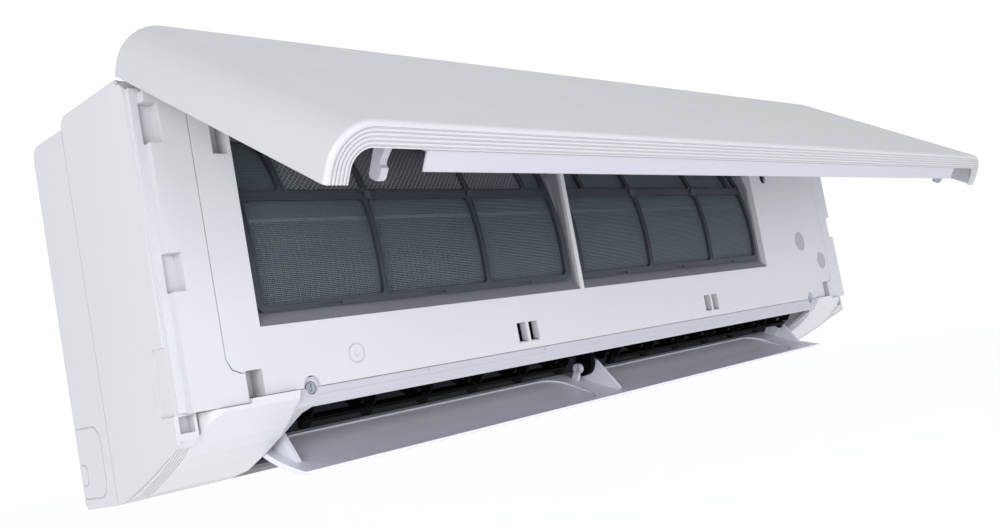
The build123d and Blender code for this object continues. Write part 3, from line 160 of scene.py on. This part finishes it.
MATS = {
    "casing_white": plastic("casing_plastic", (0.555, 0.568, 0.590), 0.42, vary=0.015, spread=0.025, edge=0.0007),
    # panel: same white plastic as the casing, painted darker as painted shade so the panel top reads darker than the
    # walls
    "panel_white": plastic("panel_plastic_painted_shade", (0.515, 0.520, 0.545), 0.36, grain=0.06, vary=0.010, spread=0.020, edge=0.0005),
    # bezel: white plastic painted darker and lavender, a painted shade tint
    "bezel_white": plastic("bezel_plastic_painted_shade", (0.455, 0.458, 0.505), 0.38, vary=0.015, spread=0.025, edge=0.0005),
    # louver: white plastic painted brighter than the casing as painted light against the shade it sits in, with a
    # lavender painted shade tint
    "louver_white": plastic("louver_plastic_painted_light", (0.66, 0.67, 0.745), 0.36, grain=0.08, edge=0.0005),
    "dark_plastic": plastic("dark_plastic", (0.200, 0.207, 0.228), 0.42, gloss=0.4, edge=0.0004),
    "filter_plastic": plastic("filter_plastic", (0.034, 0.041, 0.052), 0.36, gloss=0.45, edge=0.0004),
    "filter_mesh": plastic("net_thread", (0.112, 0.138, 0.156), 0.45, grain=0.3, gloss=0.4),
    # black plastic: really black, but set near zero so the outlet's vanes and links read as deep shade (painted shade)
    "black_plastic": plastic("black_plastic", (0.0020, 0.0021, 0.0024), 0.55, gloss=0.06),
    "foam": plastic("tray_foam", (0.60, 0.60, 0.585), 0.8, grain=0.6, vary=0.06),
    "zinc_steel": zinc("zinc_sheet"),
    "screw_steel": metal("screw_steel", (0.45, 0.48, 0.52), 0.3, scale=1500.0),
    "motor_steel": metal("motor_shell", (0.50, 0.51, 0.53), 0.38, stretch=(0.05, 1, 1)),
    "rubber": plastic("bush_rubber", (0.02, 0.02, 0.02), 0.75, grain=0.5, gloss=0.3),
    "fin_aluminium": metal("fin_aluminium", (0.34, 0.50, 0.56), 0.35, stretch=(1, 0.1, 0.1), grain=0.1),
    "copper": metal("copper_tube", (0.72, 0.36, 0.22), 0.3, stretch=(0.05, 1, 1)),
    "brass": metal("nut_brass", (0.72, 0.55, 0.26), 0.28, scale=900.0),
    "hose_plastic": plastic("hose_plastic", (0.58, 0.59, 0.60), 0.5),
    "board_green": plastic("board_lacquer", (0.03, 0.15, 0.06), 0.3, vary=0.2),
    "lattice": plastic("lattice_thread", (0.24, 0.25, 0.275), 0.5, grain=0.2, gloss=0.3),
    # duct floor: a lighter copy of the black plastic, painted light so the scroll case's foot reads lit
    "duct_plastic_painted_light": plastic("duct_plastic_painted_light", (0.060, 0.064, 0.075), 0.45, gloss=0.3),
    # painted highlight: bright metal for the strip that stands in for light catching the joint between the plate packs
    "painted_highlight_strip": metal("painted_highlight_strip", (0.62, 0.82, 0.88), 0.45, stretch=(0.05, 1, 1)),
    "window_grey": plastic("window_plastic", (0.36, 0.365, 0.385), 0.3, grain=0.02),
}
slot_of = {s["node"]: s["material_slot"] for s in frame["record"]["subparts"]}
for name, obj in NODES.items():
    mat = MATS[slot_of[name]]
    for ms in obj.material_slots:
        ms.link = "OBJECT"
        ms.material = mat


# painted light: the scroll case takes the lighter copy of the black plastic so its foot reads lit
NODES["scroll_case"].material_slots[0].material = MATS["duct_plastic_painted_light"]


# ---------------------------------------------------------------------------
# Finer pieces in place of the CAD stand-ins
# ---------------------------------------------------------------------------
def mesh_object(name, verts, faces, mat, body, slot, *stands_for):
    me = bpy.data.meshes.new(name)
    me.from_pydata([(x / 1000, y / 1000, z / 1000 - ZR) for x, y, z in verts], [], faces)
    me.validate()
    me.materials.append(MATS[mat])
    o = bpy.data.objects.new(name, me)
    bpy.context.scene.collection.objects.link(o)
    if stands_for:
        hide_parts(*stands_for)
    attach(o, body)
    return o


def bar(verts, faces, rings):
    """A closed bar through rings of the same number of corners."""
    n, base = len(rings[0]), len(verts)
    for r in rings:
        verts.extend(r)
    for k in range(len(rings) - 1):
        for i in range(n):
            j = (i + 1) % n
            a = base + k * n
            faces.append((a + i, a + j, a + n + j, a + n + i))
    faces.append(tuple(base + i for i in reversed(range(n))))
    faces.append(tuple(base + (len(rings) - 1) * n + i for i in range(n)))


# Heat exchanger: three packs of thin plates along X
PACKS = {
    "fins_front": ((-123.0, 84.0), (0.0, 1.0), 86.0),
    "fins_upper": ((-122.5, 181.0), (0.6892, 0.7245), 63.0),
    "fins_rear": ((-62.0, 236.0), (0.3677, -0.9300), 92.4),
}
for node, ((y0, z0), (dy, dz), length) in PACKS.items():
    verts, faces = [], []
    count = 353
    outline = []
    for sgn, along in ((-1, (0.0, 1.0)), (1, (1.0, 0.0))):
        for q in along:
            outline.append((y0 + dy * length * q - dz * 11.5 * sgn, z0 + dz * length * q + dy * 11.5 * sgn))
    for i in range(count):
        x = -384.9 + 634.8 * i / (count - 1)
        bar(verts, faces, [[(x - 0.08, y, z) for y, z in outline], [(x + 0.08, y, z) for y, z in outline]])
    mesh_object(node.replace("fins", "fin_plates"), verts, faces, "fin_aluminium", "casing", "fin_aluminium", node)


def shifted(points, t):
    out = []
    for i, (a, b) in enumerate(points):
        p, q = points[max(i - 1, 0)], points[min(i + 1, len(points) - 1)]
        n = math.hypot(q[0] - p[0], q[1] - p[1])
        out.append((a - (q[1] - p[1]) / n * t, b + (q[0] - p[0]) / n * t))
    return out


def smooth(points, step):
    """Points at even steps along the natural cubic curve through the given ones, each with its unit tangent."""
    p = np.array(points, float)
    t = np.concatenate([[0.0], np.cumsum(np.hypot(*np.diff(p, axis=0).T))])
    n, h = len(t), np.diff(t)
    m = np.zeros((n, n))
    r = np.zeros((n, 2))
    m[0, 0] = m[-1, -1] = 1.0
    for i in range(1, n - 1):
        m[i, i - 1], m[i, i], m[i, i + 1] = h[i - 1], 2 * (h[i - 1] + h[i]), h[i]
        r[i] = 6 * ((p[i + 1] - p[i]) / h[i] - (p[i] - p[i - 1]) / h[i - 1])
    d2 = np.linalg.solve(m, r)
    fine = []
    for u in np.linspace(0, t[-1], 800):
        i = min(int(np.searchsorted(t, u, side="right")) - 1, n - 2)
        a, b = (t[i + 1] - u) / h[i], (u - t[i]) / h[i]
        fine.append(a * p[i] + b * p[i + 1] + ((a ** 3 - a) * d2[i] + (b ** 3 - b) * d2[i + 1]) * h[i] ** 2 / 6)
    fine = np.array(fine)
    s = np.concatenate([[0.0], np.cumsum(np.hypot(*np.diff(fine, axis=0).T))])
    at = np.linspace(0, s[-1], max(2, int(round(s[-1] / step)) + 1))
    q = np.stack([np.interp(at, s, fine[:, 0]), np.interp(at, s, fine[:, 1])], 1)
    g = np.gradient(q, axis=0)
    g /= np.hypot(g[:, 0], g[:, 1])[:, None]
    return q, g


# Dust filters: fine net of crossing threads behind the ribs
ARCH = [(-110.5, 238.0), (-127.0, 217.0), (-139.0, 189.0), (-145.0, 162.0), (-146.8, 135.0), (-145.6, 108.4)]
PITCH, THREAD = 1.30, 0.19
for side, x0, x1 in (("left", -381.3, -68.7), ("right", -49.3, 257.3)):
    verts, faces = [], []
    q, g = smooth(shifted(ARCH, 3.30), 6.0)
    nrm = np.stack([-g[:, 1], g[:, 0]], 1)
    count = int((x1 - x0) / PITCH)
    for i in range(count + 1):
        x = x0 + (x1 - x0) * i / count
        rings = []
        for (y, z), (ny, nz) in zip(q, nrm):
            a, b = -0.02, 2 * THREAD - 0.02
            rings.append([(x - THREAD, y + ny * a, z + nz * a), (x + THREAD, y + ny * a, z + nz * a),
                          (x + THREAD, y + ny * b, z + nz * b), (x - THREAD, y + ny * b, z + nz * b)])
        bar(verts, faces, rings)
    q, g = smooth(shifted(ARCH, 3.30), PITCH)
    nrm = np.stack([-g[:, 1], g[:, 0]], 1)
    for (y, z), (ty, tz), (ny, nz) in zip(q, g, nrm):
        a, b, c = -2 * THREAD + 0.02, 0.02, THREAD
        ring = [(y + ny * a - ty * c, z + nz * a - tz * c), (y + ny * a + ty * c, z + nz * a + tz * c),
                (y + ny * b + ty * c, z + nz * b + tz * c), (y + ny * b - ty * c, z + nz * b - tz * c)]
        bar(verts, faces, [[(x0, u, v) for u, v in ring], [(x1, u, v) for u, v in ring]])
    mesh_object("net_" + side, verts, faces, "filter_mesh", "filter_" + side, "filter_mesh", "mesh_" + side)

# Coarser diagonal lattice in the left filter's upper row
verts, faces = [], []
q, g = smooth(shifted(ARCH, 1.6), 0.25)
keep = [i for i in range(len(q)) if 191.0 < q[i][1] < 231.6]
q, g = q[keep], g[keep]
nrm = np.stack([-g[:, 1], g[:, 0]], 1)
run = np.arange(len(q)) * 0.25
LATTICE_X = (-344.5, -96.5)
for slope in (1, -1):
    span = run[-1]
    start = LATTICE_X[0] - span if slope > 0 else LATTICE_X[0]
    x = start
    while x < LATTICE_X[1] + (0 if slope > 0 else span):
        rings = []
        for i in range(0, len(q), 12):
            px = x + slope * run[i]
            if LATTICE_X[0] <= px <= LATTICE_X[1]:
                (y, z), (ny, nz) = q[i], nrm[i]
                off = 0.26 * slope
                a, b, w = off - 0.27, off + 0.27, 0.30
                rings.append([(px - w, y + ny * a, z + nz * a), (px + w, y + ny * a, z + nz * a),
                              (px + w, y + ny * b, z + nz * b), (px - w, y + ny * b, z + nz * b)])
        if len(rings) > 1:
            bar(verts, faces, rings)
        x += 4.2
mesh_object("lattice_left", verts, faces, "lattice", "filter_left", "filter_mesh")

# Painted highlight: a bright strip where the front pack of plates ends under the upper one, in place of light catching
# the joint
verts, faces = [], []
ring = [(-135.0, 170.3), (-135.0, 172.3), (-134.4, 173.0), (-128.0, 171.2), (-128.0, 170.6), (-134.4, 170.3)]
bar(verts, faces, [[(x, u, v) for u, v in ring] for x in (-384.9, -62.0, 249.9)])
mesh_object("painted_highlight_strip", verts, faces, "painted_highlight_strip", "casing", "fin_aluminium")


# ---------------------------------------------------------------------------
# Floor, light and camera
# ---------------------------------------------------------------------------
def sheet_mesh(name, corners):
    me = bpy.data.meshes.new(name)
    me.from_pydata(corners, [], [tuple(range(len(corners)))])
    o = bpy.data.objects.new(name, me)
    bpy.context.scene.collection.objects.link(o)
    return o


floor = sheet_mesh("floor", [(-9, -7, -0.62), (9, -7, -0.62), (9, 9, -0.62), (-9, 9, -0.62)])
fl = Nodes("floor_paint")
fl.link(fl.ramp(fl.noise(0.8, 1.0), [(0.3, (0.925, 0.925, 0.93)), (0.7, (0.935, 0.935, 0.94))]), fl.bsdf.inputs["Base Color"])
fl.bsdf.inputs["Roughness"].default_value = 1.0
fl.bsdf.inputs["Specular IOR Level"].default_value = 0.0
fl.bsdf.inputs["Emission Color"].default_value = (1.0, 1.0, 1.0, 1.0)
fl.bsdf.inputs["Emission Strength"].default_value = 0.38
floor.data.materials.append(fl.mat)

# Even pale sky, white in the direction the camera looks
world = bpy.data.worlds.new("studio")
world.use_nodes = True
wt = world.node_tree
bg = wt.nodes["Background"]
along = wt.nodes.new("ShaderNodeVectorMath")
along.operation = "DOT_PRODUCT"
along.inputs[1].default_value = (0.736, 0.673, 0.068)
wt.links.new(wt.nodes.new("ShaderNodeTexCoord").outputs["Generated"], along.inputs[0])
sky = wt.nodes.new("ShaderNodeValToRGB")
sky.color_ramp.interpolation = "EASE"
sky.color_ramp.elements[0].position = 0.30
sky.color_ramp.elements[0].color = (0.53, 0.54, 0.57, 1)
sky.color_ramp.elements[1].position = 0.80
sky.color_ramp.elements[1].color = (1.0, 1.0, 1.0, 1)
wt.links.new(along.outputs["Value"], sky.inputs["Fac"])
wt.links.new(sky.outputs["Color"], bg.inputs[0])
bg.inputs[1].default_value = 1.03
bpy.context.scene.world = world


def area(name, loc, target, size, power, colour=(1, 1, 1)):
    li = bpy.data.lights.new(name, "AREA")
    li.shape = "RECTANGLE"
    li.size, li.size_y = size
    li.energy = power
    li.color = colour
    o = bpy.data.objects.new(name, li)
    bpy.context.scene.collection.objects.link(o)
    d = Vector(target) - Vector(loc)
    o.location = loc
    o.rotation_euler = d.to_track_quat("-Z", "Y").to_euler()
    return o


area("key", (-2.0, -1.3, 0.25), (-0.1, -0.1, 0), (1.2, 1.0), 25, (1.0, 0.995, 0.985))
area("front", (-0.3, -2.3, 0.0), (0, -0.1, 0), (1.2, 1.2), 14, (0.97, 0.98, 1.0))

cam_data = bpy.data.cameras.new("camera")
cam = bpy.data.objects.new("camera", cam_data)
bpy.context.scene.collection.objects.link(cam)
RIGHT = Vector((0.6729599, -0.71729896, -0.18057458))
DOWN = Vector((-0.07249178, 0.17899287, -0.98117608))
AHEAD = Vector((0.73611814, 0.67338232, 0.06845675))
rot = Matrix((RIGHT, -DOWN, -AHEAD)).transposed()
cam.matrix_world = Matrix.Translation((-0.746414, -0.716937, 0.050 - ZR)) @ rot.to_4x4()
cam_data.sensor_width = 36.0
cam_data.lens = 1010.76 * 36.0 / 1000.0
cam_data.shift_x = -(528.28 - 500.0) / 1000.0
cam_data.shift_y = (284.44 - 263.5) / 1000.0
cam_data.clip_start = 0.02
cam_data.dof.use_dof = False
bpy.context.scene.camera = cam
bpy.context.scene.view_settings.view_transform = "Standard"
